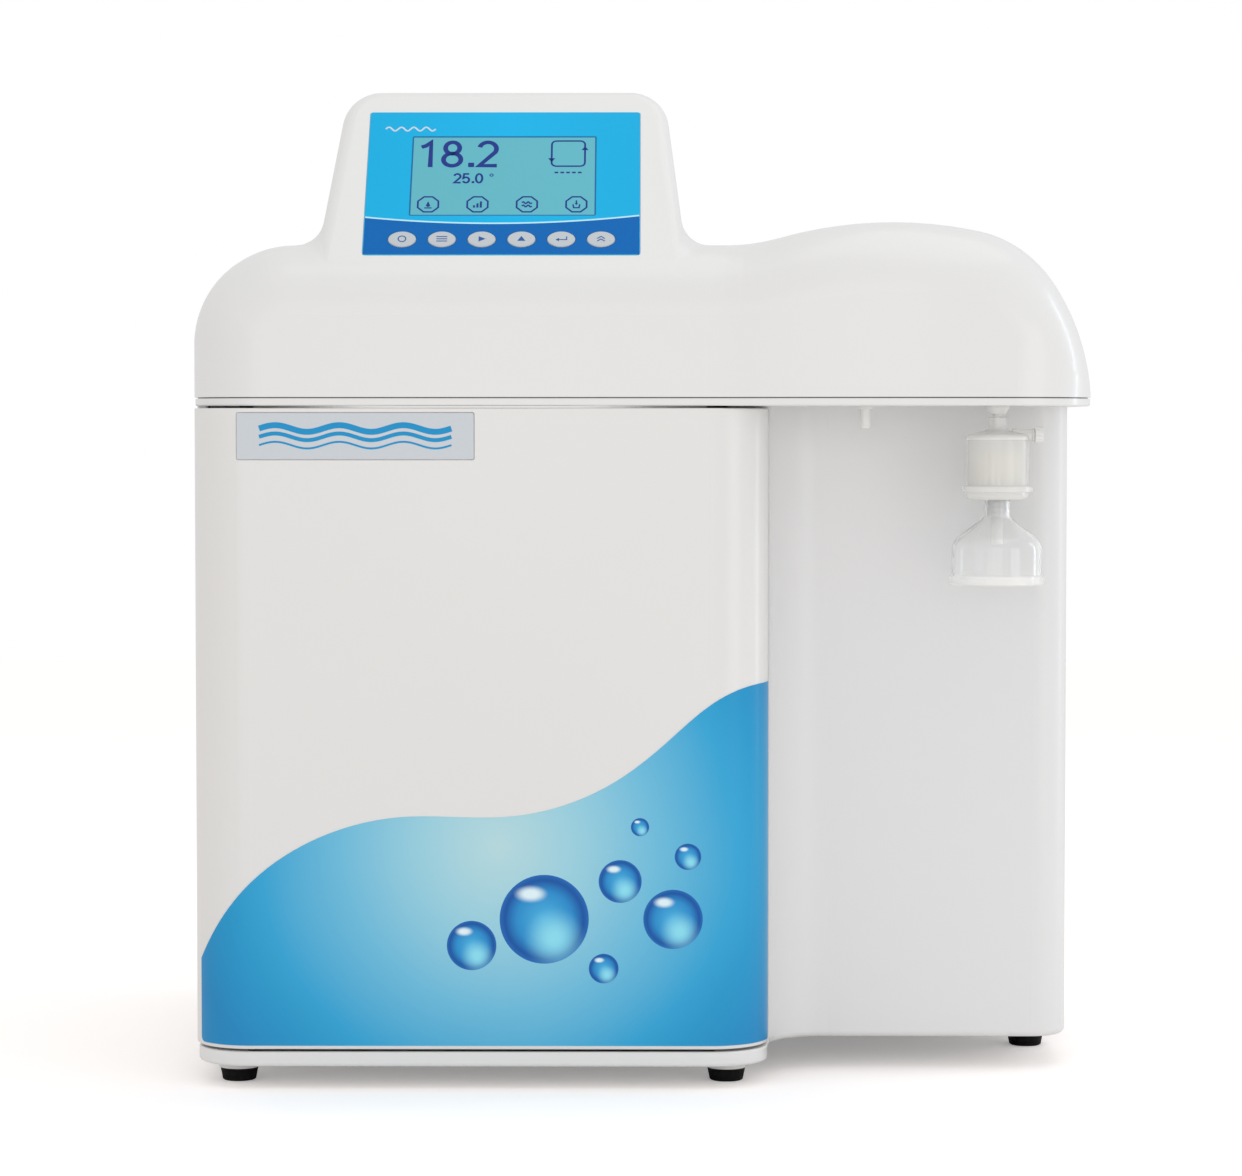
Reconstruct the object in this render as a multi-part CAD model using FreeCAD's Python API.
import FreeCAD, Part

import math
import os

# Ultrapure water system: a bench-top cabinet with a domed cover, a leaning
# console pod, a hinged door over the cartridges, and a dispensing bay at the
# right with a final filter hanging in it.
#
# Frame, in millimetres: +X to the right as seen by the user, +Y to the rear,
# +Z up. The origin is under the middle of the machine, on the floor.

V = FreeCAD.Vector
UP = V(0, 0, 1)
RIGHT = V(1, 0, 0)
BACK = V(0, 1, 0)

# ------------------------------------------------------------ driving sizes

# overall
cover_width = 551.0
body_depth = 395.0          # door front to rear panel
rear_reach = 15.0           # fittings behind the rear panel

# heights of the levels, from the floor up
foot_height = 8.0
boss_height = 5.6
tray_height = 9.3
door_gap = 1.6              # tray to door
door_height = 388.7
door_top_gap = 1.4          # door to deck
deck_thick = 4.5
seam_height = 0.8           # shadow line between deck and cover
crown_height = 93.1         # flat of the cover above the seam
crest_rise = 13.5           # hump above the flat
console_rise = 99.0         # pod above the flat

# cover, seen from above
cover_corner = 45.0
head_corner = 60.0
rear_corner = 30.0
head_bulge = 10.0           # head stands this far in front of the door
head_bulge_in = 125.4       # middle of the bow, in from the right edge
head_bulge_radius = 505.0
head_blend_radius = 120.0

# cover, seen from the front
cover_wall = 3.2
shoulder_radius = 62.0
crest_in = 123.4            # top of the hump, in from the right edge
crest_radius = 260.0
valley_radius = 117.0
crest_turn = 78.5           # degrees, where the crest meets the outer shoulder
outer_shoulder_radius = 72.0
flank_radius = 147.0        # right side below the shoulder, leaning in slightly at the seam
cut_past = 20.0             # how far the cutting shapes run past the cover
overcut = 1.0               # how far a cutting shape stands past a face
brow_radius = 44.0          # blend from the front face to the top
rear_brow_radius = 22.0

# console pod
pod_shoulder_gap = 15.7     # pod's foot from the start of the left shoulder
pod_top_width = 199.0
pod_base_width = 223.0
pod_corner = 24.0
pod_lean = 39.7             # degrees from vertical
pod_face_start = 18.3       # foot of the foil behind the door front
pod_face_level = 7.0        # foot of the foil below the crown
pod_ridge = 34.0
pod_back_lean = 42.0
pod_face_radius = 9.0       # edge round the leaning face
pod_back_radius = 14.0      # edge round the back slope
pod_foot_blend = 18.0
pod_sunk = 8.8              # pod's solid reaches this far below the foil's foot

# console foil, window and keys, in the leaning plane
foil_width = 168.4
foil_height = 120.0
foil_thick = 1.0
foil_recess = 0.7
foil_clearance = 0.3
foil_corner = 2.0
window_width = 114.4
window_height = 67.2
window_sill = 32.1
window_thick = 0.8
display_margin = 8.0
display_depth = 9.0
display_clearance = 0.4
display_corner = 1.0        # window, display and their opening
key_count = 6
key_pitch = 24.2
key_line = 12.4
key_width = 17.1
key_height = 12.8
key_end_radius = 5.0
key_proud = 0.9
key_skirt = 1.0
key_skirt_thick = 1.2
key_edge = 0.7
key_clearance = 0.3
key_slot_flat = 0.1         # straight bit at each end of the keys' common slot
key_travel = 0.8
key_stem_radius = 1.7
stem_clearance = 0.08
stem_end_gap = 0.4          # stem's end above the well's floor with the key pressed
stem_root = 0.2             # stem's overlap with its key
skirt_gap = 0.05            # skirt to foil
switch_size = 8.0
switch_height = 5.0
switch_floor = 1.0
board_thick = 1.6
board_margin = 3.0
board_boss_radius = 3.6
board_screw_radius = 1.2
board_screw_head_radius = 2.2
board_screw_head = 1.6
board_screw_short = 1.0     # screw's tip before the end of its post
board_front = 10.0          # board's face below the foil's plane
board_boss_length = 6.0

# cabinet
side_inset = 1.0            # side panel inside the cover's edge
deck_inset = 0.6
seam_inset = 1.4
deck_lip = 6.0
locator_height = 3.0        # rim on the deck that stands inside the cover's wall
deck_fit = 0.3
deck_edge = 1.2
cabinet_clear = 30.0
fit_gap = 0.3
partition_fold = 14.0
bay_inset = 9.5             # outer wall of the bay inside the cover's edge
sheet = 2.0
door_width = 351.0
door_wall = 3.0
door_corner = 36.0
door_edge = 1.2
door_return = 42.0
door_lip = 14.0
door_rib = 2.5
door_rib_depth = 9.0
door_rib_root = 0.5         # rib's overlap with the door's wall
bay_depth = 75.0
bay_sweep = 38.0
bay_corner = 23.0
bay_drop = 2.9              # bay shell hangs below the tray's top
shell_gap = 1.0
flange = 26.0
panel_foot = 6.0

# hinge
barrel_radius = 6.5
barrel_gap = 0.6
web_root = 1.0              # overlap of the barrel's web with the door's side
hinge_pin_radius = 2.5
hinge_pin_reach = 15.0
running_clearance = 0.05

# magnets
magnet_width = 15.0
magnet_depth = 8.0
magnet_height = 30.0
strike_thick = 1.5
strike_gap = 0.3
strike_short = 2.0          # strike plate shorter than the magnet at each end
magnet_edge = 1.0
lug_thick = 2.5
lug_reach = 5.0             # lug's root between the magnet and the door's wall
magnet_levels = (0.18, 0.82)    # shares of the door's height
door_rib_count = 3

# film and badge on the door
film_thick = 0.3
film_margin = 2.3
film_left_return = 18.0     # how far the film wraps back round the door's left corner
film_right_return = 32.0
film_corner = 3.5           # rounding of its lower corners
wave_past = 10.0            # how far the cut above the wave runs past the door
badge_width = 142.9
badge_height = 28.0
badge_left = 29.4           # from the door's left edge
badge_drop = 2.9            # from the door's top
badge_thick = 1.2
badge_corner = 1.0
badge_sunk = 0.2            # face of the badge below the door's face
badge_gap = 0.5             # groove round the badge
film_wave = (               # film's top edge, as shares of the door's width and height
    (-0.017, 0.059), (0.023, 0.157), (0.091, 0.249), (0.211, 0.327), (0.365, 0.364),
    (0.553, 0.365), (0.724, 0.414), (0.823, 0.481), (0.900, 0.540), (1.014, 0.571),
)

# tray and feet
tray_inset = 1.4
tray_front_inset = 1.0
tray_wall = 3.0
tray_floor = 3.0
tray_corner = 33.0
tray_edge = 1.2             # rounding of the tray's top edge
tray_foot_edge = 2.5
foot_edge = 4.0             # rounding along the foot of the bay shell
foot_turn = 8.0             # width of the rim round that foot
foot_radius = 11.8
foot_sole_radius = 10.3
foot_sole_edge = 0.8        # chamfer round the sole, and its height
foot_sole_edge_height = 0.6
foot_bore_gap = 0.2
boss_slope = 0.31           # the bosses widen upwards by this share of their height
boss_radius = 12.4
foot_screw_radius = 2.0
foot_screw_head_radius = 4.2
foot_screw_head = 2.4
foot_screw_length = 12.0
foot_counterbore = 4.0      # depth of the screw's counterbore in a foot
foot_counterbore_radius = 5.0
foot_in = 25.3              # foot centres in from the side edges
wing_foot_in = 17.0
front_foot_back = 38.0
wing_foot_back = 170.0
rear_foot_in = 40.0

# outlets under the head
outlet_back = 32.0          # outlet axes behind the door front
filter_in = 59.4            # filter's axis in from the cover's right edge
spout_spacing = 80.7        # spout to filter
spout_radius = 3.1
spout_length = 13.5
spout_bore = 2.0
spout_tip_edge = 0.5        # chamfer at the spout's tip, and its height
spout_tip_height = 0.8
spout_flare = 1.8           # flange at the spout's root: reach, thickness and slope
spout_flare_thick = 1.2
spout_flare_slope = 0.8
collar_radius = 7.3
collar_height = 4.8
collar_taper = 2.5
collar_rim = 1.5
stem_radius = 3.0
stem_length = 13.0
stem_tip_edge = 0.4         # chamfer at the stem's tip, and its height
stem_tip_height = 1.0
thread_radius = 4.0
nut_radius = 8.0
nut_height = 5.0
thread_tail = 4.0           # thread above its nut

# final filter capsule, hanging below the coupler's collar
neck_gap = 2.0
neck_radius = 5.2
neck_height = 7.6
shoulder_height = 6.2
capsule_radius = 19.7
capsule_height = 28.1
capsule_wall = 1.6
capsule_roof = 0.5          # inside of the shoulder below its outside, at the wall
socket_end = 2.0            # and at the stem's socket
ring_radius = 21.7
ring_height = 3.7
ring_edge = 0.6
cap_radius = 17.7
cap_height = 4.9
cap_edge = 1.0
pleat_count = 20
pleat_outer = 15.3
pleat_inner = 11.5
pleat_core = 6.0
pleat_height = 20.0
membrane_lift = 1.5
barb_radius = 5.85
barb_count = 3
barb_pitch = 3.2
barb_lead = 1.0             # first barb below the nozzle's root
barb_edge = 0.4
barb_gap = 0.6
nozzle_radius = 3.6
nozzle_length = 26.8
nozzle_bore = 2.0
nozzle_tip_edge = 0.6
vent_radius = 2.5
vent_length = 22.5
vent_drop = 0.6             # vent arm below the shoulder's start
vent_root = 1.5             # arm's overlap with the neck
vent_tip_root = 1.0
vent_tip_radius = 1.6
vent_tip = 4.5
knob_radius = 5.0
knob_thick = 5.0
knob_flutes = 8
knob_flute_radius = 1.0
knob_flute_out = 0.4        # flutes' axes outside the knob's radius
knob_tip_gap = 0.5          # knob's bore past the arm's tip, at each end

# filling bell
bell_neck_radius = 7.7
bell_neck_height = 10.3
bell_radius = 27.5
bell_shoulder = 17.8
bell_skirt = 17.4
bell_rim_radius = 29.1
bell_rim_height = 5.8
bell_rim_edge = 0.5         # chamfer under the rim, its height and the slope above it
bell_rim_edge_height = 0.8
bell_rim_slope = 1.2
bell_steps = 7              # facets of the domed shoulder
bell_wall = 1.5
bell_grip = 0.08
bell_seat = 0.3

# cartridges behind the door
partition_back = 160.0      # partition behind the door front
cartridge_pitch = 82.0
cartridge_in = 49.0         # first cartridge in from the cabinet's left side
cartridge_gap = 0.3
pretreatment_radius = 37.0
pretreatment_height = 300.0
osmosis_radius = 31.0
osmosis_height = 318.0
polishing_radius = 34.0
polishing_height = 290.0
cartridge_cap = 22.0
cartridge_cap_rim = 2.0
cap_foot_edge = 2.0
cap_head_edge = 4.0         # height of the head's slope, and how far it comes in
cap_head_in = 5.0
cap_step = 1.0
port_radius = 6.0
port_height = 9.0
port_collar = 1.5           # collar round a port's root, its height and its slope
port_collar_height = 3.0
port_collar_slope = 1.0
port_root = 1.0
port_offset = 14.0
tube_radius = 3.175
tube_bend = 12.0
tube_tail = 40.0
grommet_gap = 1.5           # round a hose where it passes the partition
outlet_loop = 34.0          # rise of the hose over the filter's coupler
outlet_bend = 10.0
clip_wall = 2.5
clip_height = 16.0
clip_mouth = 100.0          # degrees left open at the front
clip_foot = 14.0
clip_levels = (70.0, 250.0)
axis_standoff = 14.0        # cartridge skin to the partition

# works behind the partition
pump_radius = 42.0
pump_length = 120.0
pump_head_radius = 47.0
pump_head_length = 50.0
pump_in = 164.0             # from the cabinet's left side
pump_ahead = 105.0          # pump's axis ahead of the rear
pump_foot = 12.0
pump_edge = 5.0
pump_head_edge = 8.0
pump_port_reach = 12.0
bracket_in = 8.0            # bracket's ends inside the motor's ends
saddle_drop = 12.0          # saddles' tops below the motor's axis
supply_size = (150.0, 52.0, 95.0)
supply_in = 84.0            # from the cabinet's left side
supply_level = 230.0
valve_size = (28.0, 34.0, 24.0)
valve_coil_radius = 13.0
valve_coil_height = 30.0
valve_nut_radius = 5.0
valve_nut_height = 4.0
valve_pitch = 48.0
valve_in = 190.0            # from the cabinet's left side
valve_count = 3
valve_level = 300.0
reactor_radius = 32.0
reactor_height = 290.0
reactor_in = 85.0           # from the cabinet's right side
reactor_ahead = 135.0       # ahead of the rear
reactor_end = 14.0
reactor_cap_rim = 4.0
lamp_cap_radius = 10.0
lamp_cap_height = 12.0
reactor_port_reach = 14.0
reactor_port_in = 40.0      # ports in from the reactor's ends
cell_radius = 9.0
cell_length = 46.0
cell_spigot_wall = 1.0
cell_spigot = 6.0
cell_taper = 2.0
dispense_left = 47.0        # dispensing valve left of the filter
dispense_back = 58.0        # and behind it
supply_slots = 12
supply_slot_pitch = 10.0
supply_slot_width = 3.0
supply_slot_depth = 2.0
supply_slot_margin = 12.0

# rear panel
vent_slots = 9
vent_slot_width = 4.0
vent_slot_length = 60.0
vent_slot_pitch = 11.0
vent_slot_flat = 0.05       # straight bit at each end of a slot
vent_in = 175.0             # from the cabinet's right side
vent_level = 290.0
fitting_count = 3
fitting_pitch = 38.0
fitting_in = 84.0           # first fitting from the cabinet's left side
fitting_level = 92.0
fitting_radius = 8.5
fitting_bore = 3.2
fitting_socket = 16.0
fitting_flange = 3.0
fitting_hex = 10.5
fitting_rim = 1.0
fitting_collar_end = 4.0    # collar's shoulder before the fitting's end, and its step
fitting_collar_slope = 1.0
fitting_collar_step = 2.0
fitting_seat = 1.0          # hose's stop inside the hose's own radius
fitting_nut_rim = 2.0
fitting_nut_extra = 1.0
inlet_in = 115.0            # from the cabinet's right side
inlet_level = 84.0
inlet_width = 48.0
inlet_height = 58.0
inlet_flange = 2.5
inlet_lap = 4.0             # flange over the panel at each side
inlet_lap_end = 3.0         # and at its ends
inlet_body_gap = 1.0        # body inside the panel's opening
inlet_corner = 3.0
socket_width = 24.6
socket_height = 17.4
socket_depth = 17.0
socket_drop = 11.0
blade_width = 4.0
blade_thick = 2.0
blade_length = 14.0
blade_spacing = 7.0
rocker_width = 19.0
rocker_height = 12.8
rocker_rise = 15.0
rocker_throw = 14.0         # degrees
rocker_clearance = 0.4
rocker_sink = 4.0
rocker_proud = 1.0
rocker_dish = 1.2
rocker_well = 14.0
rocker_axle_end = 1.5
rocker_axle_gap = 0.2
rocker_ease = 0.2           # rocker shorter than its named height at each end
inlet_depth = 24.0
blade_drop = 2.0
rocker_pin_radius = 1.5
panel_screw_radius = 2.0
panel_screw_head = 3.8
panel_screw_head_height = 2.0
panel_screw_length = 8.0
screw_margin = 12.0
panel_screw_share = 0.75     # screws this share of the flange's width in

# ------------------------------------------------------------ derived levels

half = cover_width / 2
front = head_bulge - (head_bulge + body_depth + rear_reach) / 2
rear = front + body_depth
tray_bottom = foot_height + boss_height
tray_top = tray_bottom + tray_height
door_bottom = tray_top + door_gap
door_top = door_bottom + door_height
deck_bottom = door_top + door_top_gap
deck_top = deck_bottom + deck_thick
cover_bottom = deck_top + seam_height
crown = cover_bottom + crown_height
crest = crown + crest_rise
thread_top = deck_top + nut_height + thread_tail
body_left = -half + side_inset
body_right = half - bay_inset
door_right = body_left + door_width
head_bulge_x = half - head_bulge_in
crest_x = half - crest_in
pod_x = -half + shoulder_radius + pod_shoulder_gap + pod_base_width / 2
bay_back = front + bay_depth
bay_bottom = tray_top - bay_drop
cartridge_foot = tray_bottom + tray_floor + fit_gap
hinge_x = body_left + barrel_radius
hinge_y = front + door_return
outlet_y = front + outlet_back
filter_x = half - filter_in
spout_x = filter_x - spout_spacing
partition_y = front + partition_back
cartridge_first_x = body_left + cartridge_in
pump_x = body_left + pump_in
pump_y = rear - pump_ahead
supply_x = body_left + supply_in
valve_first_x = body_left + valve_in
reactor_x = body_right - reactor_in
reactor_y = rear - reactor_ahead
dispense_x = filter_x - dispense_left
dispense_y = outlet_y + dispense_back
vent_x = body_right - vent_in
fitting_first_x = body_left + fitting_in
inlet_x = body_right - inlet_in
cartridge_sizes = (
    ("pretreatment_cartridge", pretreatment_radius, pretreatment_height),
    ("osmosis_cartridge", osmosis_radius, osmosis_height),
    ("polishing_cartridge_left", polishing_radius, polishing_height),
    ("polishing_cartridge_right", polishing_radius, polishing_height),
)
pod_face_y = front + pod_face_start
pod_face_z = crown - pod_face_level


# ------------------------------------------------------------ small helpers

def save(node, shape):
    shape.exportStep(os.path.join("parts", node + ".step"))


def polar(centre, radius, degrees):
    """A point in the XY plane on a circle about centre."""
    turn = math.radians(degrees)
    return V(centre.x + radius * math.cos(turn), centre.y + radius * math.sin(turn), centre.z)


def arc(centre, radius, start, stop):
    middle = (start + stop) / 2
    points = [polar(centre, radius, turn) for turn in (start, middle, stop)]
    return Part.Arc(*points).toShape()


def joined(edges):
    """A closed face from arcs and lines in order, with lines where they leave a gap."""
    ring = []
    for index, edge in enumerate(edges):
        ring.append(edge)
        here = edge.lastVertex(True).Point
        there = edges[(index + 1) % len(edges)].firstVertex(True).Point
        if here.distanceToPoint(there) > 1e-6:
            ring.append(Part.makeLine(here, there))
    return Part.Face(Part.Wire(ring))


def polygon(points):
    corners = [V(*point) for point in points]
    return Part.Face(Part.makePolygon(corners + corners[:1]))


def upright(face):
    """Turn a face drawn in XY so that its Y becomes Z."""
    face.rotate(V(0, 0, 0), RIGHT, 90)
    return face


def block(low, high):
    size = V(*high) - V(*low)
    return Part.makeBox(size.x, size.y, size.z, V(*low))


def round_block(width, height, thick, radius, low=0.0):
    """A plate centred on the origin, with rounded corners, its underside at low."""
    x = width / 2 - radius
    y = height / 2 - radius
    corners = [arc(V(x, -y, low), radius, -90, 0), arc(V(x, y, low), radius, 0, 90),
               arc(V(-x, y, low), radius, 90, 180), arc(V(-x, -y, low), radius, 180, 270)]
    return joined(corners).extrude(UP * thick)


def soften(solid, radius, level, axis=BACK):
    """Round the outline's edge at one level, starting from its end that lies furthest against axis."""
    rim = [edge for edge in solid.Edges
           if edge.BoundBox.ZLength < 1e-6 and abs(edge.BoundBox.ZMin - level) < 1e-6]
    first = min(rim, key=lambda edge: edge.CenterOfMass.dot(axis))
    return solid.makeFillet(radius, [first])


def turned(points, centre, axis=UP):
    """A solid of revolution from (radius, height) pairs, standing at centre along axis."""
    solid = polygon([(radius, 0, level) for radius, level in points]).revolve(V(0, 0, 0), UP, 360)
    solid.Placement = FreeCAD.Placement(V(*centre), FreeCAD.Rotation(UP, axis))
    return solid


def cylinder(radius, length, centre, axis=UP):
    return Part.makeCylinder(radius, length, V(*centre), axis)


def hexagon(radius, height, centre, axis=UP):
    points = [(radius * math.cos(math.radians(60 * k)), radius * math.sin(math.radians(60 * k)), 0)
              for k in range(6)]
    solid = polygon(points).extrude(UP * height)
    solid.Placement = FreeCAD.Placement(V(*centre), FreeCAD.Rotation(UP, axis))
    return solid


def screw(radius, head_radius, head_height, length, centre, axis):
    """A pan-head screw: its shank runs from centre along axis, its head lies behind centre."""
    solid = turned([(0, -head_height), (head_radius * 0.7, -head_height), (head_radius, -head_height * 0.4),
                    (head_radius, 0), (radius, 0), (radius, length), (0, length)], centre, axis)
    return solid


def tube(points, radius, bend):
    """A round tube along straight runs joined by arcs of one bend radius."""
    corners = [V(*point) for point in points]
    edges = []
    start = corners[0]
    for before, corner, after in zip(corners, corners[1:], corners[2:]):
        inward = (before - corner).normalize()
        outward = (after - corner).normalize()
        half_angle = inward.getAngle(outward) / 2
        setback = bend / math.tan(half_angle)
        first = corner + inward * setback
        last = corner + outward * setback
        centre = corner + (inward + outward).normalize() * (bend / math.sin(half_angle))
        middle = centre + (corner - centre).normalize() * bend
        edges.append(Part.makeLine(start, first))
        edges.append(Part.Arc(first, middle, last).toShape())
        start = last
    edges.append(Part.makeLine(start, corners[-1]))
    path = Part.Wire(edges)
    section = Part.Wire(Part.makeCircle(radius, corners[0], corners[1] - corners[0]))
    return path.makePipeShell([section], True, True)


# ------------------------------------------------------------ outlines

def cover_plan(inset):
    """The cover and deck seen from above: straight over the door, bowed out at the head."""
    left = V(-half + cover_corner, front + cover_corner, 0)
    rear_left = V(-half + rear_corner, rear - rear_corner, 0)
    rear_right = V(half - rear_corner, rear - rear_corner, 0)
    bow = V(head_bulge_x, front - head_bulge + head_bulge_radius, 0)
    reach = head_bulge_radius + head_blend_radius
    run = math.sqrt(reach ** 2 - (reach - head_bulge) ** 2)
    dip = V(head_bulge_x - run, front - head_blend_radius, 0)
    dip_turn = math.degrees(math.atan2(dip.y - bow.y, dip.x - bow.x))
    shoulder_x = half - head_corner
    shoulder_y = bow.y - math.sqrt((head_bulge_radius - head_corner) ** 2 - (shoulder_x - bow.x) ** 2)
    shoulder = V(shoulder_x, shoulder_y, 0)
    bow_end = math.degrees(math.atan2(shoulder.y - bow.y, shoulder.x - bow.x))
    return joined([
        arc(left, cover_corner - inset, 180, 270),
        arc(dip, head_blend_radius + inset, 90, dip_turn + 180),
        arc(bow, head_bulge_radius - inset, dip_turn, bow_end),
        arc(shoulder, head_corner - inset, bow_end, 0),
        arc(rear_right, rear_corner - inset, 0, 90),
        arc(rear_left, rear_corner - inset, 90, 180),
    ])


def cover_elevation(inset, low):
    """The cover seen from the front: left shoulder, flat crown, hump and long right flank."""
    left = V(-half + shoulder_radius, crown - shoulder_radius, 0)
    hump = V(crest_x, crest - crest_radius, 0)
    reach = crest_radius + valley_radius
    run = math.sqrt(reach ** 2 - (reach - crest_rise) ** 2)
    valley = V(crest_x - run, crown + valley_radius, 0)
    valley_turn = math.degrees(math.atan2(valley.y - hump.y, valley.x - hump.x))
    shoulder = polar(hump, crest_radius - outer_shoulder_radius, crest_turn)
    overhang = half - flank_radius - shoulder.x
    flank_turn = math.degrees(math.acos(overhang / (outer_shoulder_radius - flank_radius)))
    flank = polar(shoulder, outer_shoulder_radius - flank_radius, flank_turn)
    foot = low - shoulder_radius
    ends = [V(half - inset, foot, 0), V(-half + inset, foot, 0)]
    return joined([
        arc(left, shoulder_radius - inset, 180, 90),
        arc(valley, valley_radius + inset, -90, valley_turn - 180),
        arc(hump, crest_radius - inset, valley_turn, crest_turn),
        arc(shoulder, outer_shoulder_radius - inset, crest_turn, flank_turn),
        arc(flank, flank_radius - inset, flank_turn, 0),
        Part.makeLine(*ends),
    ])


def top_edges(solid, low):
    """The edges where the upright wall turns into the top, front ones and rear ones."""
    front_edges = []
    rear_edges = []
    for edge in solid.Edges:
        if edge.BoundBox.ZMin < low + 1 or edge.BoundBox.YLength > body_depth / 2:
            continue
        middle = edge.valueAt((edge.FirstParameter + edge.LastParameter) / 2)
        walls = 0
        for face in solid.ancestorsOfType(edge, Part.Face):
            normal = face.normalAt(*face.Surface.parameter(middle))
            if abs(normal.z) < 1e-6 and face.BoundBox.ZMin < low + 1:
                walls += 1
        if walls == 1 and edge.Length > 0.1:
            (front_edges if middle.y < 0 else rear_edges).append(edge)
    return front_edges, rear_edges


def cover_lengthwise(inset, low):
    """The cover's elevation carried from front to rear, past both ends."""
    profile = upright(cover_elevation(inset, low))
    profile.translate(BACK * (front - head_bulge - cut_past))
    return profile.extrude(BACK * (body_depth + head_bulge + 2 * cut_past))


def cover_body(inset, low):
    """The cover without its pod, inset all over from the outer skin."""
    plan = cover_plan(inset)
    plan.translate(UP * low)
    solid = cover_lengthwise(inset, low).common(plan.extrude(UP * (crest - low + cut_past)))
    front_edges, rear_edges = top_edges(solid, low)
    solid = solid.makeFillet(brow_radius - inset, front_edges)
    front_edges, rear_edges = top_edges(solid, low)
    return solid.makeFillet(rear_brow_radius - inset, rear_edges)


def pod_body(inset, low):
    """The console pod as a solid, sunk into the cover down to low."""
    top = crown + console_rise - inset
    lean = math.tan(math.radians(pod_lean))
    back_lean = math.tan(math.radians(pod_back_lean))
    face_y = pod_face_y + inset / math.cos(math.radians(pod_lean))
    foot_y = face_y - (pod_face_z - low) * lean
    ridge_y = face_y + (top - pod_face_z) * lean
    back_y = ridge_y + pod_ridge - 2 * inset
    taper = (pod_base_width - pod_top_width) / 2 / console_rise
    half_low = pod_base_width / 2 + (crown - low) * taper - inset
    half_top = pod_top_width / 2 - inset
    elevation = polygon([(pod_x - half_low, low, 0), (pod_x + half_low, low, 0),
                         (pod_x + half_top, top, 0), (pod_x - half_top, top, 0)])
    across = upright(elevation)
    across.translate(BACK * front)
    slab = across.extrude(BACK * body_depth)
    shoulders = [edge for edge in slab.Edges
                 if edge.BoundBox.ZMin > top - 1 and edge.BoundBox.YLength > body_depth / 2]
    slab = slab.makeFillet(pod_corner - inset, shoulders)
    side = polygon([(0, foot_y, low), (0, ridge_y, top), (0, back_y, top),
                    (0, back_y + (top - low) * back_lean, low)])
    side.translate(RIGHT * (pod_x - pod_base_width))
    pod = slab.common(side.extrude(RIGHT * 2 * pod_base_width))
    face_rim = rim_edges(pod, lambda z: face_y + (z - pod_face_z) * lean, low)
    pod = pod.makeFillet(pod_face_radius - inset, face_rim)
    back_rim = rim_edges(pod, lambda z: back_y + (top - z) * back_lean, low)
    return pod.makeFillet(pod_back_radius - inset, back_rim)


def rim_edges(solid, y_at, low):
    """The edges round a leaning face, given its y at each level, without its foot."""
    edges = []
    for edge in solid.Edges:
        ends = [vertex.Point for vertex in edge.Vertexes]
        on_face = all(abs(point.y - y_at(point.z)) < 0.01 for point in ends)
        at_foot = all(point.z < low + 0.01 for point in ends)
        if on_face and not at_foot:
            edges.append(edge)
    return edges


def seam_edges(solid, first, second):
    """The edges of a solid that lie on the skins of both the solids it was made from."""
    edges = []
    for edge in solid.Edges:
        middle = Part.Vertex(edge.valueAt((edge.FirstParameter + edge.LastParameter) / 2))
        gaps = [middle.distToShape(skin)[0] for skin in (first, second)]
        if max(gaps) < 0.001 and edge.Length > 0.1:
            edges.append(edge)
    return edges


def console_place(shape):
    """Move a shape drawn flat, foot of the foil at the origin, onto the leaning face."""
    shape.Placement = FreeCAD.Placement(
        V(pod_x, pod_face_y, pod_face_z), FreeCAD.Rotation(RIGHT, 90 - pod_lean)).multiply(shape.Placement)
    return shape


def key_oval(grow, low, high):
    """An upright oval prism the shape of a key, larger by grow all round."""
    reach = key_width / 2 - key_end_radius
    side_radius = (reach ** 2 + (key_height / 2) ** 2 - key_end_radius ** 2) / (key_height - 2 * key_end_radius)
    drop = side_radius - key_height / 2
    turn = math.degrees(math.atan2(drop, reach))
    right = V(reach, 0, low)
    left = V(-reach, 0, low)
    oval = joined([arc(right, key_end_radius + grow, -turn, turn),
                   arc(V(0, -drop, low), side_radius + grow, turn, 180 - turn),
                   arc(left, key_end_radius + grow, 180 - turn, 180 + turn),
                   arc(V(0, drop, low), side_radius + grow, 180 + turn, 360 - turn)])
    return oval.extrude(UP * (high - low))


def key_xs():
    return [(k - (key_count - 1) / 2) * key_pitch for k in range(key_count)]


# ------------------------------------------------------------ cover and console

def make_top_cover():
    """Domed shell with its pod, open underneath, with the console's recess and aperture."""
    pod_low = pod_face_z - pod_sunk
    body = cover_body(0.0, cover_bottom)
    pod = pod_body(0.0, pod_low)
    outer = body.fuse(pod).removeSplitter()
    outer = outer.makeFillet(pod_foot_blend, seam_edges(outer, body.Shells[0], pod.Shells[0]))
    hollow = cover_body(cover_wall, cover_bottom).fuse(pod_body(cover_wall, pod_low))
    shell = outer.cut(hollow)
    recess = round_block(foil_width + 2 * foil_clearance, foil_height + 2 * foil_clearance,
                         foil_recess + pod_corner, foil_corner, -foil_recess)
    recess.translate(BACK * foil_height / 2)
    display = round_block(window_width + 2 * display_margin + 2 * display_clearance,
                          window_height + 2 * display_margin + 2 * display_clearance,
                          2 * pod_corner, display_corner, -pod_corner)
    display.translate(BACK * (window_sill + window_height / 2))
    slot_height = key_height + 2 * key_skirt + 2 * key_clearance
    slot = round_block(key_pitch * (key_count - 1) + key_width + 2 * key_skirt + 2 * key_clearance,
                       slot_height, 2 * pod_corner, slot_height / 2 - key_slot_flat, -pod_corner)
    slot.translate(BACK * key_line)
    shell = shell.cut(console_place(recess)).cut(console_place(display)).cut(console_place(slot))
    for boss in board_bosses():
        shell = shell.fuse(boss)
    for x, y in board_screw_places():
        bore = cylinder(board_screw_radius + running_clearance, board_boss_length, (x, y, -board_front))
        shell = shell.cut(console_place(bore))
    return shell


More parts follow.
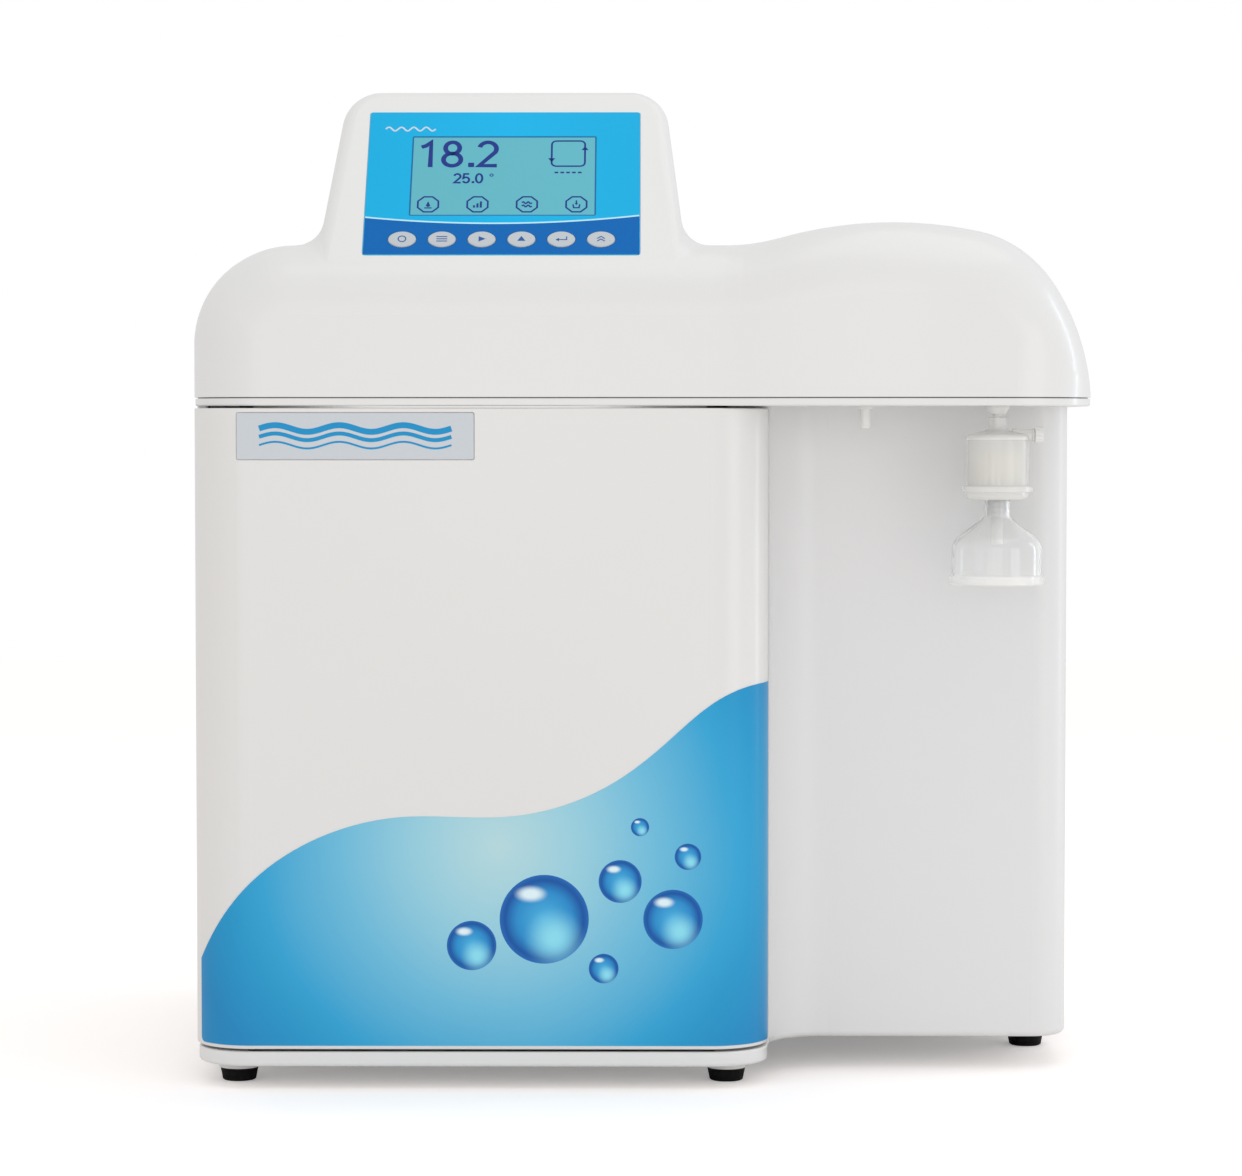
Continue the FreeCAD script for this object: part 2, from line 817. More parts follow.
def board_screw_places():
    x = foil_width / 2 - board_margin - board_boss_radius
    low = board_boss_radius
    high = foil_height - board_boss_radius - board_margin
    return [(-x, low), (x, low), (-x, high), (x, high)]


def board_bosses():
    """Posts from the inside of the pod's face to the keypad board."""
    wall = cover_wall - foil_recess
    posts = []
    for x, y in board_screw_places():
        post = cylinder(board_boss_radius, board_front - wall, (x, y, -board_front))
        posts.append(console_place(post))
    return posts


def make_console_foil():
    """Thin keypad foil with the display's window and the key holes."""
    foil = round_block(foil_width, foil_height, foil_thick, foil_corner, -foil_recess)
    foil.translate(BACK * foil_height / 2)
    window = round_block(window_width, window_height, 3 * foil_thick, display_corner, -2 * foil_thick)
    window.translate(BACK * (window_sill + window_height / 2))
    foil = foil.cut(window)
    for x in key_xs():
        hole = key_oval(key_clearance, -2 * foil_thick, 2 * foil_thick)
        hole.translate(V(x, key_line, 0))
        foil = foil.cut(hole)
    return console_place(foil)


def make_display_window():
    pane = round_block(window_width - 2 * display_clearance, window_height - 2 * display_clearance,
                       window_thick, display_corner, -foil_recess)
    pane.translate(BACK * (window_sill + window_height / 2))
    return console_place(pane)


def make_display_module():
    """Display behind its window, a metal frame with a glass front."""
    width = window_width + 2 * display_margin
    height = window_height + 2 * display_margin
    case = round_block(width, height, display_depth, display_corner, -foil_recess - display_depth)
    case.translate(BACK * (window_sill + window_height / 2))
    return console_place(case)


def make_keypad_board():
    width = foil_width - 2 * board_margin
    board = block((-width / 2, -board_margin, -board_front - board_thick),
                  (width / 2, foil_height - board_margin, -board_front))
    for x, y in board_screw_places():
        board = board.cut(cylinder(board_screw_radius + running_clearance, 3 * board_thick,
                                   (x, y, -board_front - 2 * board_thick)))
    return console_place(board)


def make_board_screws():
    screws = []
    for x, y in board_screw_places():
        pin = screw(board_screw_radius, board_screw_head_radius, board_screw_head,
                    board_thick + board_boss_length - board_screw_short,
                    (x, y, -board_front - board_thick), UP)
        screws.append(console_place(pin))
    return Part.makeCompound(screws)


def make_key_switches():
    """Push switches on the board, each with a well for its key's stem."""
    switches = []
    for x in key_xs():
        body = block((x - switch_size / 2, key_line - switch_size / 2, -board_front),
                     (x + switch_size / 2, key_line + switch_size / 2, -board_front + switch_height))
        well = cylinder(key_stem_radius + stem_clearance, switch_height, (x, key_line, -board_front + switch_floor))
        switches.append(console_place(body.cut(well)))
    return Part.makeCompound(switches)


def make_key(index):
    """Oval key with a crowned face, a retaining skirt and a stem into its switch."""
    body = key_oval(0.0, -foil_recess - key_skirt_thick, key_proud)
    body = body.makeFillet(key_edge, [edge for edge in body.Edges
                                      if abs(edge.BoundBox.ZMin - key_proud) < 0.01])
    skirt = key_oval(key_skirt, -foil_recess - key_skirt_thick, -foil_recess - skirt_gap)
    stem_end = -board_front + switch_floor + key_travel + stem_end_gap
    stem = cylinder(key_stem_radius, -foil_recess - key_skirt_thick - stem_end + stem_root, (0, 0, stem_end))
    key = body.fuse(skirt).fuse(stem)
    key.translate(V(key_xs()[index], key_line, 0))
    return console_place(key)


# ------------------------------------------------------------ deck

def make_deck_plate():
    """Plate between cover and cabinet, with a raised seat that keeps the seam open."""
    plan = cover_plan(deck_inset)
    plan.translate(UP * deck_bottom)
    plate = soften(plan.extrude(UP * deck_thick), deck_edge, deck_bottom)
    seat = cover_plan(deck_inset + seam_inset)
    seat.translate(UP * deck_top)
    keep = cover_plan(cover_wall + deck_lip)
    keep.translate(UP * deck_top)
    plate = plate.fuse(seat.extrude(UP * seam_height)).cut(keep.extrude(UP * seam_height))
    locator = cover_plan(cover_wall + deck_fit)
    locator.translate(UP * deck_top)
    locator_hole = cover_plan(cover_wall + deck_fit + sheet)
    locator_hole.translate(UP * deck_top)
    lip = locator.extrude(UP * locator_height).cut(locator_hole.extrude(UP * locator_height))
    plate = plate.fuse(lip.common(cover_lengthwise(cover_wall + deck_fit, deck_top)))
    opening = block((body_left + cabinet_clear, partition_y + cabinet_clear, deck_bottom - overcut),
                    (reactor_x - reactor_radius - cabinet_clear, rear - cabinet_clear, deck_top + overcut))
    plate = plate.cut(opening)
    plate = plate.cut(cylinder(hinge_pin_radius + running_clearance, 3 * deck_thick,
                               (hinge_x, hinge_y, deck_bottom - deck_thick)))
    plate = plate.cut(cylinder(thread_radius + running_clearance, 3 * deck_thick,
                               (filter_x, outlet_y, deck_bottom - deck_thick)))
    return plate.cut(cylinder(thread_radius + running_clearance, 3 * deck_thick,
                              (spout_x, outlet_y, deck_bottom - deck_thick)))


# ------------------------------------------------------------ cabinet

def make_base_tray():
    """Drip tray under the cartridges and plate under the works, with conical foot bosses."""
    left = body_left + tray_inset
    right = door_right
    y = front + tray_front_inset
    corner_left = V(left + tray_corner, y + tray_corner, 0)
    corner_right = V(right - tray_corner, y + tray_corner, 0)
    inset = foot_turn + fit_gap
    inner_right = right + shell_gap - inset
    back = rear - sheet - fit_gap
    rear_left = V(left + rear_corner, back - rear_corner, 0)
    outline = joined([arc(corner_left, tray_corner, 180, 270), arc(corner_right, tray_corner, 270, 360),
                      Part.makeLine(V(right, flange_y() - fit_gap, 0), V(inner_right, flange_y() - fit_gap, 0)),
                      Part.makeLine(V(inner_right, back, 0), V(rear_left.x, back, 0)),
                      arc(rear_left, rear_corner, 90, 180)])
    outline.translate(UP * tray_bottom)
    tray = outline.extrude(UP * tray_height)
    tray = soften(soften(tray, tray_foot_edge, tray_bottom), tray_edge, tray_top)
    sweep = V(door_right + shell_gap + bay_sweep, flange_y(), bay_bottom)
    wing_front = V(body_right - bay_corner, bay_back + bay_corner, bay_bottom)
    wing_rear = V(body_right - rear_corner, rear - rear_corner, bay_bottom)
    rim_end = bay_rear_end() - fit_gap
    wing = joined([arc(sweep, bay_sweep + inset, 180, 90), arc(wing_front, bay_corner - inset, 270, 360),
                   arc(wing_rear, rear_corner - inset, 0, 90),
                   Part.makeLine(V(rim_end, rear - inset, bay_bottom), V(rim_end, back, bay_bottom)),
                   Part.makeLine(V(inner_right - sheet, back, bay_bottom),
                                 V(inner_right - sheet, flange_y(), bay_bottom))])
    tray = tray.fuse(wing.extrude(UP * (tray_top - bay_bottom)))
    well = block((left + tray_wall, y + tray_corner, tray_bottom + tray_floor),
                 (right - tray_wall, partition_y - tray_wall, tray_top + overcut))
    front_well = block((left + tray_corner, y + tray_wall, tray_bottom + tray_floor),
                       (right - tray_corner, y + tray_corner + overcut, tray_top + overcut))
    tray = tray.cut(well).cut(front_well)
    for x, y in foot_places():
        boss_top = bay_bottom if x > door_right else tray_bottom
        top_radius = boss_radius + boss_slope * (boss_top - foot_height)
        cone = turned([(0, foot_height), (boss_radius, foot_height), (top_radius, boss_top), (0, boss_top)],
                      (x, y, 0))
        tray = tray.fuse(cone).cut(cylinder(foot_screw_radius + running_clearance, boss_height + tray_height,
                                            (x, y, foot_height - overcut)))
    return tray.cut(cylinder(hinge_pin_radius + running_clearance, tray_height,
                             (hinge_x, hinge_y, tray_bottom + tray_floor)))


def foot_places():
    left = body_left + foot_in
    wing = body_right - wing_foot_in
    return [(left, front + front_foot_back), (door_right - foot_in, front + front_foot_back),
            (wing, front + wing_foot_back), (left, rear - rear_foot_in), (wing, rear - rear_foot_in)]


def make_feet():
    """Tapered rubber feet, each with a counterbore for its screw."""
    feet = []
    for x, y in foot_places():
        bore = foot_screw_radius + foot_bore_gap
        feet.append(turned([(bore, foot_counterbore), (bore, foot_height), (foot_radius, foot_height),
                            (foot_sole_radius, foot_sole_edge_height), (foot_sole_radius - foot_sole_edge, 0),
                            (foot_counterbore_radius, 0), (foot_counterbore_radius, foot_counterbore)],
                           (x, y, 0)))
    return Part.makeCompound(feet)


def make_foot_screws():
    screws = []
    for x, y in foot_places():
        screws.append(screw(foot_screw_radius, foot_screw_head_radius, foot_screw_head, foot_screw_length,
                            (x, y, foot_counterbore), UP))
    return Part.makeCompound(screws)


def wall_strip(face, low, high):
    face.translate(UP * low)
    return face.extrude(UP * (high - low))


def make_left_panel():
    """Sheet-metal side with a flange at the door and a rounded rear corner."""
    start = hinge_y + barrel_radius + barrel_gap
    inner_left = body_left + sheet
    centre = V(body_left + rear_corner, rear - rear_corner, 0)
    end_x = body_left + flange + rear_corner
    outer = joined([Part.makeLine(V(body_left + flange, start, 0), V(body_left, start, 0)),
                    arc(centre, rear_corner, 180, 90),
                    Part.makeLine(V(end_x, rear, 0), V(end_x, rear - sheet, 0)),
                    arc(centre, rear_corner - sheet, 90, 180),
                    Part.makeLine(V(inner_left, start + sheet, 0), V(body_left + flange, start + sheet, 0))])
    panel = wall_strip(outer, tray_top, deck_bottom)
    foot = block((inner_left - sheet / 2, start + sheet / 2, tray_top),
                 (inner_left + panel_foot, rear - rear_corner, tray_top + sheet))
    return panel.fuse(foot)


def bay_rear_end():
    """Where the bay shell ends on the rear side."""
    return body_right - flange - rear_corner


def bay_strip(thick):
    """The bay seen from above, as a band of one thickness inside its outer skin."""
    sweep = V(door_right + shell_gap + bay_sweep, flange_y(), 0)
    outer = V(body_right - bay_corner, bay_back + bay_corner, 0)
    rear_centre = V(body_right - rear_corner, rear - rear_corner, 0)
    end_x = bay_rear_end()
    return joined([
        arc(sweep, bay_sweep, 180, 90),
        arc(outer, bay_corner, 270, 360),
        arc(rear_centre, rear_corner, 0, 90),
        Part.makeLine(V(end_x, rear, 0), V(end_x, rear - thick, 0)),
        arc(rear_centre, rear_corner - thick, 90, 0),
        arc(outer, bay_corner - thick, 360, 270),
        arc(sweep, bay_sweep + thick, 90, 180),
    ])


def make_bay_shell():
    """The recessed dispensing bay: concave sweep, flat back, rounded corner, right side."""
    edge_x = door_right + shell_gap
    shell = wall_strip(bay_strip(sheet), bay_bottom, deck_bottom)
    rim = wall_strip(bay_strip(foot_turn), bay_bottom, tray_top)
    shell = shell.fuse(rim).removeSplitter()
    shell = soften(shell, foot_edge, bay_bottom, RIGHT * -1)
    stop = block((edge_x - flange, flange_y(), tray_top),
                 (edge_x - sheet / 2, flange_y() + sheet, deck_bottom))
    return shell.fuse(stop)


def make_rear_panel():
    """Flat rear panel between the side flanges, with its fittings' holes and air slots."""
    left = body_left + rear_corner + flange / 2
    right = body_right - rear_corner - flange / 2
    inner = rear - sheet
    panel = block((left, inner - sheet, tray_top), (right, inner, deck_bottom))
    for x in fitting_xs():
        panel = panel.cut(cylinder(fitting_radius + running_clearance, 4 * sheet,
                                   (x, inner - 2 * sheet, fitting_level), BACK))
    half_width = inlet_width / 2 - inlet_lap
    half_height = inlet_height / 2 - inlet_lap_end
    panel = panel.cut(block((inlet_x - half_width, inner - 2 * sheet, inlet_level - half_height),
                            (inlet_x + half_width, inner + sheet, inlet_level + half_height)))
    for k in range(vent_slots):
        level = vent_level + (k - (vent_slots - 1) / 2) * vent_slot_pitch
        slot = round_block(vent_slot_length, vent_slot_width, 4 * sheet, vent_slot_width / 2 - vent_slot_flat,
                           -2 * sheet)
        slot.rotate(V(0, 0, 0), RIGHT, 90)
        slot.translate(V(vent_x, inner, level))
        panel = panel.cut(slot)
    for x, z in panel_screw_places():
        panel = panel.cut(cylinder(panel_screw_radius + running_clearance, 4 * sheet,
                                   (x, inner - 2 * sheet, z), BACK))
    return panel


def fitting_xs():
    return [fitting_first_x + k * fitting_pitch for k in range(fitting_count)]


def panel_screw_places():
    left = body_left + rear_corner + panel_screw_share * flange
    right = body_right - rear_corner - panel_screw_share * flange
    low = tray_top + screw_margin
    high = deck_bottom - screw_margin
    return [(x, z) for x in (left, right) for z in (low, (low + high) / 2, high)]


def make_panel_screws():
    screws = []
    for x, z in panel_screw_places():
        screws.append(screw(panel_screw_radius, panel_screw_head, panel_screw_head_height,
                            panel_screw_length, (x, rear, z), BACK * -1))
    return Part.makeCompound(screws)


def drill_panel(shape):
    """Holes for the rear panel's screws through the flange of a side."""
    for x, z in panel_screw_places():
        shape = shape.cut(cylinder(panel_screw_radius + running_clearance, 4 * sheet,
                                   (x, rear - 3 * sheet, z), BACK))
    return shape


# ------------------------------------------------------------ door

def door_plan(inset, back_y):
    """The door seen from above: both corners rounded, open at the back along back_y."""
    left = V(body_left + door_corner, front + door_corner, 0)
    right = V(door_right - door_corner, front + door_corner, 0)
    return joined([arc(left, door_corner - inset, 180, 270), arc(right, door_corner - inset, 270, 360),
                   Part.makeLine(V(door_right - inset, back_y, 0), V(body_left + inset, back_y, 0))])


def magnet_zs():
    return [door_bottom + share * door_height for share in magnet_levels]


def make_front_door():
    """Moulded door: rounded returns at both sides, lips, ribs and a rolled hinge edge."""
    closed_y = flange_y() - shell_gap
    skin = wall_strip(door_plan(0.0, closed_y), door_bottom, door_top)
    skin = soften(soften(skin, door_edge, door_bottom), door_edge, door_top)
    open_y = closed_y + overcut
    cavity = wall_strip(door_plan(door_wall, open_y), door_bottom + door_wall, door_top - door_wall)
    inside_lip = wall_strip(door_plan(door_lip, open_y), door_bottom - overcut, door_top + overcut)
    door = skin.cut(cavity).cut(inside_lip)
    door = door.cut(badge_block(badge_gap, front - badge_sunk, badge_thick + 2 * badge_sunk))
    stretch = (door_right - body_left) / (door_rib_count + 1)
    for k in range(door_rib_count):
        x = body_left + (k + 1) * stretch
        door = door.fuse(block((x - door_rib / 2, front + door_wall - door_rib_root, door_bottom + door_wall / 2),
                               (x + door_rib / 2, front + door_wall + door_rib_depth,
                                door_top - door_wall / 2)))
    barrel = cylinder(barrel_radius, door_height, (hinge_x, hinge_y, door_bottom))
    web = block((body_left, closed_y - web_root, door_bottom), (body_left + door_wall, hinge_y, door_top))
    door = door.fuse(barrel).fuse(web)
    for level in (door_bottom - overcut, door_top - hinge_pin_reach - overcut):
        door = door.cut(cylinder(hinge_pin_radius + running_clearance, hinge_pin_reach + 2 * overcut,
                                 (hinge_x, hinge_y, level)))
    for z in magnet_zs():
        right = door_right - door_wall
        y = strike_front_y()
        door = door.fuse(block((right - magnet_width - lug_reach, y - lug_thick, z - magnet_height / 2),
                               (right, y, z + magnet_height / 2)))
    return door


def strike_front_y():
    return flange_y() - magnet_depth - strike_gap - strike_thick


def flange_y():
    return bay_back - bay_sweep


def magnet_x():
    return door_right - door_wall - lug_reach - magnet_width / 2


def make_strike_plates():
    plates = []
    for z in magnet_zs():
        y = strike_front_y()
        plates.append(block((magnet_x() - magnet_width / 2, y, z - magnet_height / 2 + strike_short),
                            (magnet_x() + magnet_width / 2, y + strike_thick,
                             z + magnet_height / 2 - strike_short)))
    return Part.makeCompound(plates)


def make_door_magnets():
    """Two cased magnets on the bay's front flange."""
    magnets = []
    for z in magnet_zs():
        case = block((magnet_x() - magnet_width / 2, flange_y() - magnet_depth, z - magnet_height / 2),
                     (magnet_x() + magnet_width / 2, flange_y(), z + magnet_height / 2))
        magnets.append(case.makeFillet(magnet_edge, [edge for edge in case.Edges
                                                     if edge.BoundBox.YLength > magnet_depth - magnet_edge]))
    return Part.makeCompound(magnets)


def make_hinge_pins():
    lower_end = tray_bottom + tray_floor
    lower = cylinder(hinge_pin_radius, door_bottom + hinge_pin_reach - lower_end - running_clearance,
                     (hinge_x, hinge_y, lower_end + running_clearance))
    upper = cylinder(hinge_pin_radius, deck_top - door_top + hinge_pin_reach,
                     (hinge_x, hinge_y, door_top - hinge_pin_reach))
    return Part.makeCompound([lower, upper])


def film_end(left, right, stop_y, low):
    """What is cut off one end of the film: all behind stop_y, and its rounded lower corner."""
    behind = block((left, stop_y, 0), (right, front + 2 * door_corner, cover_bottom))
    corner = block((left, stop_y - film_corner, 0), (right, stop_y + film_corner, low + film_corner))
    curve = cylinder(film_corner, right - left, (left, stop_y - film_corner, low + film_corner), RIGHT)
    return behind.fuse(corner.cut(curve))


def make_door_film():
    """Thin printed film round the foot of the door, with a wave-shaped top edge."""
    low = door_bottom + film_margin
    outer = wall_strip(door_plan(-film_thick, front + door_corner), low, door_top)
    inner = wall_strip(door_plan(0.0, front + door_corner + overcut), low - overcut, door_top + overcut)
    film = outer.cut(inner)
    middle_x = (body_left + door_right) / 2
    film = film.cut(film_end(body_left - film_corner, middle_x, front + film_left_return, low))
    film = film.cut(film_end(middle_x, door_right + film_corner, front + film_right_return, low))
    wave = Part.BSplineCurve()
    wave.interpolate([V(body_left + across * door_width, 0, door_bottom + up * door_height)
                      for across, up in film_wave])
    edge = wave.toShape()
    top_left = V(body_left - wave_past, 0, crest)
    top_right = V(door_right + wave_past, 0, crest)
    start = edge.firstVertex().Point
    end = edge.lastVertex().Point
    above = Part.Face(Part.Wire([edge, Part.makeLine(end, top_right), Part.makeLine(top_right, top_left),
                                 Part.makeLine(top_left, start)]))
    above.translate(BACK * (front - wave_past / 2))
    return film.cut(above.extrude(BACK * (2 * door_corner)))


def badge_block(grow, face_y, thick):
    """A plate with the badge's outline, larger by grow all round, from face_y backwards."""
    plate = round_block(badge_width + 2 * grow, badge_height + 2 * grow, thick, badge_corner + grow)
    plate.rotate(V(0, 0, 0), RIGHT, 90)
    plate.translate(V(body_left + badge_left + badge_width / 2, face_y + thick,
                      door_top - badge_drop - badge_height / 2))
    return plate


def make_badge_plate():
    """Bare plate that lies in a shallow pocket at the door's top left."""
    return badge_block(0.0, front + badge_sunk, badge_thick)


# ------------------------------------------------------------ outlets and final filter

def make_outlet_coupler():
    """Collar under the deck with a thread through it and a stem for the filter."""
    top = deck_bottom
    foot = top - collar_height
    tip = foot - stem_length
    coupler = turned([(0, tip), (stem_radius - stem_tip_edge, tip), (stem_radius, tip + stem_tip_height),
                      (stem_radius, foot), (collar_radius - collar_taper, foot),
                      (collar_radius, top - collar_rim), (collar_radius, top), (thread_radius, top),
                      (thread_radius, thread_top), (0, thread_top)], (filter_x, outlet_y, 0))
    return coupler.cut(cylinder(spout_bore, thread_top - tip + 2 * overcut,
                                (filter_x, outlet_y, tip - overcut)))


def make_spout():
    """Plain hose stub under the deck, threaded through it."""
    top = deck_bottom
    tip = top - spout_length
    flare = spout_radius + spout_flare
    return turned([(spout_radius - spout_tip_edge, tip), (spout_radius, tip + spout_tip_height),
                   (spout_radius, top - spout_flare_thick - spout_flare_slope),
                   (flare, top - spout_flare_thick), (flare, top), (thread_radius, top),
                   (thread_radius, thread_top), (spout_bore, thread_top), (spout_bore, tip)],
                  (spout_x, outlet_y, 0))


def make_outlet_nuts():
    nuts = []
    for x in (filter_x, spout_x):
        nut = hexagon(nut_radius, nut_height, (x, outlet_y, deck_top))
        nuts.append(nut.cut(cylinder(thread_radius + running_clearance, 3 * nut_height,
                                     (x, outlet_y, deck_top - nut_height))))
    return Part.makeCompound(nuts)


neck_top = deck_bottom - collar_height - neck_gap
shoulder_top = neck_top - neck_height
shell_top = shoulder_top - shoulder_height
ring_top = shell_top - capsule_height
cap_top = ring_top - ring_height
nozzle_top = cap_top - cap_height
vent_level_z = shoulder_top - vent_radius - vent_drop


def make_capsule_shell():
    """Clear head of the filter: socket neck, shoulder, wall and the vent arm's side tube."""
    wall = capsule_wall
    shell = turned([
        (stem_radius + running_clearance, neck_top), (neck_radius, neck_top),
        (neck_radius, shoulder_top), (capsule_radius, shell_top), (capsule_radius, ring_top),
        (capsule_radius - wall, ring_top), (capsule_radius - wall, shell_top - capsule_roof),
        (stem_radius + running_clearance, shoulder_top - socket_end)], (filter_x, outlet_y, 0))
    start = neck_radius - vent_root
    arm = cylinder(vent_radius, vent_length - start, (filter_x + start, outlet_y, vent_level_z), RIGHT)
    tip = cylinder(vent_tip_radius, vent_tip + vent_tip_root,
                   (filter_x + vent_length - vent_tip_root, outlet_y, vent_level_z), RIGHT)
    return shell.fuse(arm).fuse(tip)


def make_pleated_membrane():
    """Pleated filter ring round an open core."""
    points = []
    for k in range(pleat_count):
        for share, radius in ((0.0, pleat_outer), (0.5, pleat_inner)):
            points.append(polar(V(0, 0, 0), radius, 360 * (k + share) / pleat_count))
    pleats = Part.Face(Part.makePolygon(points + points[:1])).extrude(UP * pleat_height)
    pleats = pleats.cut(cylinder(pleat_core, pleat_height, (0, 0, 0)))
    pleats.translate(V(filter_x, outlet_y, ring_top + membrane_lift))
    return pleats


def make_capsule_base():
    """Base of the filter: clamp ring, cap and the nozzle with its barbs."""
    barb_start = nozzle_top - barb_lead
    points = [(nozzle_bore, ring_top + membrane_lift), (pleat_outer, ring_top + membrane_lift),
              (pleat_outer, ring_top), (ring_radius - ring_edge, ring_top), (ring_radius, ring_top - ring_edge),
              (ring_radius, cap_top), (cap_radius, cap_top), (cap_radius, nozzle_top + cap_edge),
              (cap_radius - cap_edge, nozzle_top), (nozzle_radius, nozzle_top)]
    for k in range(barb_count):
        level = barb_start - k * barb_pitch
        points += [(nozzle_radius, level), (barb_radius, level - barb_edge),
                   (nozzle_radius, level - barb_pitch + barb_gap)]
    tip = nozzle_top - nozzle_length
    points += [(nozzle_radius, tip + nozzle_tip_edge), (nozzle_radius - nozzle_tip_edge, tip),
               (nozzle_bore, tip)]
    return turned(points, (filter_x, outlet_y, 0))


def make_vent_knob():
    """Fluted knob that turns on the vent arm's tip."""
    x = filter_x + vent_length + shell_gap / 3
    knob = cylinder(knob_radius, knob_thick, (x, outlet_y, vent_level_z), RIGHT)
    for k in range(knob_flutes):
        flute = cylinder(knob_flute_radius, knob_thick, (x, outlet_y, vent_level_z), RIGHT)
        turn = 2 * math.pi * k / knob_flutes
        flute.translate(V(0, math.cos(turn), math.sin(turn)) * (knob_radius + knob_flute_out))
        knob = knob.cut(flute)
    return knob.cut(cylinder(vent_tip_radius + running_clearance, vent_tip + knob_tip_gap,
                             (x - knob_tip_gap, outlet_y, vent_level_z), RIGHT))


def make_filling_bell():
    """Clear bell over the nozzle: gripping neck, domed shoulder, skirt and rim."""
    top = nozzle_top - bell_seat
    neck_end = top - bell_neck_height
    skirt_top = neck_end - bell_shoulder
    rim_top = skirt_top - bell_skirt
    rim_end = rim_top - bell_rim_height
    grip = barb_radius + bell_grip

    def dome(radius, neck, low, high):
        """Quarter-oval shoulder from the skirt's radius up to the neck's."""
        points = []
        for k in range(bell_steps):
            turn = math.pi / 2 * k / (bell_steps - 1)
            points.append((neck + (radius - neck) * math.cos(turn), low + (high - low) * math.sin(turn)))
        return points

    outside = dome(bell_radius, bell_neck_radius, skirt_top, neck_end)
    inside = dome(bell_radius - bell_wall, grip, skirt_top, neck_end - bell_wall)
    points = [(bell_radius - bell_wall, rim_end), (bell_rim_radius - bell_rim_edge, rim_end),
              (bell_rim_radius, rim_end + bell_rim_edge_height),
              (bell_rim_radius, rim_top - bell_rim_slope), (bell_radius, rim_top)]
    points += outside + [(bell_neck_radius, top), (grip, top)] + inside[::-1]
    return turned(points, (filter_x, outlet_y, 0))


# ------------------------------------------------------------ behind the door

def make_partition_panel():
    """Folded panel that carries the cartridges in front and the works behind."""
    low = tray_top
    high = deck_bottom
    fold = partition_fold
    profile = Part.Face(Part.makePolygon([V(0, y, z) for y, z in (
        (partition_y, low), (partition_y + fold, low), (partition_y + fold, low + sheet),
        (partition_y + sheet, low + sheet), (partition_y + sheet, high - sheet),
        (partition_y + fold, high - sheet), (partition_y + fold, high), (partition_y, high),
        (partition_y, low))]))
    left = body_left + sheet + panel_foot + fit_gap
    right = door_right - fit_gap
    profile.translate(RIGHT * left)
    panel = profile.extrude(RIGHT * (right - left))
    for x, y, z in (feed_port(), product_port()):
        panel = panel.cut(cylinder(tube_radius + grommet_gap, 6 * sheet,
                                   (x, partition_y - 2 * sheet, hose_level(z)), BACK))
    return panel


def cartridge_centre(index):
    radius = cartridge_sizes[index][1]
    return V(cartridge_first_x + index * cartridge_pitch, partition_y - axis_standoff - radius, cartridge_foot)


def make_cartridge(index):
    """Sealed cartridge: ribbed end caps and two hose ports on its head."""
    radius, height = cartridge_sizes[index][1:]
    rim = radius + cartridge_cap_rim
    cap = cartridge_cap
    body = turned([(0, 0), (rim - cap_foot_edge, 0), (rim, cap_foot_edge), (rim, cap), (radius, cap + cap_step),
                   (radius, height - cap - cap_step), (rim, height - cap), (rim, height - cap_head_edge),
                   (rim - cap_head_in, height), (0, height)], cartridge_centre(index))
    for x, y, z in cartridge_ports(index):
        collar = port_radius + port_collar
        body = body.fuse(turned([(0, -port_root), (collar, -port_root), (collar, port_collar_height),
                                 (port_radius, port_collar_height + port_collar_slope),
                                 (port_radius, port_height), (0, port_height)], (x, y, z - port_height)))
    return body


def cartridge_ports(index):
    """Tops of a cartridge's inlet and outlet."""
    centre = cartridge_centre(index)
    top = centre.z + cartridge_sizes[index][2] + port_height
    return [(centre.x - port_offset, centre.y, top), (centre.x + port_offset, centre.y, top)]


def make_cartridge_clips():
    """Spring clips on the partition, two to a cartridge, open to the front."""
    clips = []
    half_mouth = clip_mouth / 2
    for index, sizes in enumerate(cartridge_sizes):
        centre = cartridge_centre(index)
        inner = sizes[1] + cartridge_gap
        outer = inner + clip_wall
        for level in clip_levels:
            middle = V(centre.x, centre.y, level)
            ring = joined([arc(middle, outer, half_mouth - 90, 270 - half_mouth),
                           arc(middle, inner, 270 - half_mouth, half_mouth - 90)])
            clip = ring.extrude(UP * clip_height)
            foot = block((centre.x - clip_foot / 2, centre.y + inner + clip_wall / 2, level),
                         (centre.x + clip_foot / 2, partition_y, level + clip_height))
            clips.append(clip.fuse(foot))
    return Part.makeCompound(clips)


def hose_level(port_level):
    """Hoses run halfway between the port they leave and the deck."""
    return (port_level + deck_bottom) / 2


def make_link_tubes():
    """Hoses over the top from each cartridge's outlet to the next one's inlet."""
    tubes = []
    for index in range(len(cartridge_sizes) - 1):
        start = cartridge_ports(index)[1]
        end = cartridge_ports(index + 1)[0]
        over = hose_level(max(start[2], end[2]))
        tubes.append(tube([start, (start[0], start[1], over), (end[0], end[1], over), end],
                          tube_radius, tube_bend))
    return Part.makeCompound(tubes)


def feed_port():
    return cartridge_ports(0)[0]


def product_port():
    return cartridge_ports(len(cartridge_sizes) - 1)[1]


def through_tube(port):
    """Hose from a port on a cartridge back through the partition."""
    x, y, z = port
    over = hose_level(z)
    return tube([port, (x, y, over), (x, partition_y + tube_tail, over)], tube_radius, tube_bend)


# ------------------------------------------------------------ works behind the partition

def pump_axis_z():
    return tray_top + pump_foot + pump_head_radius


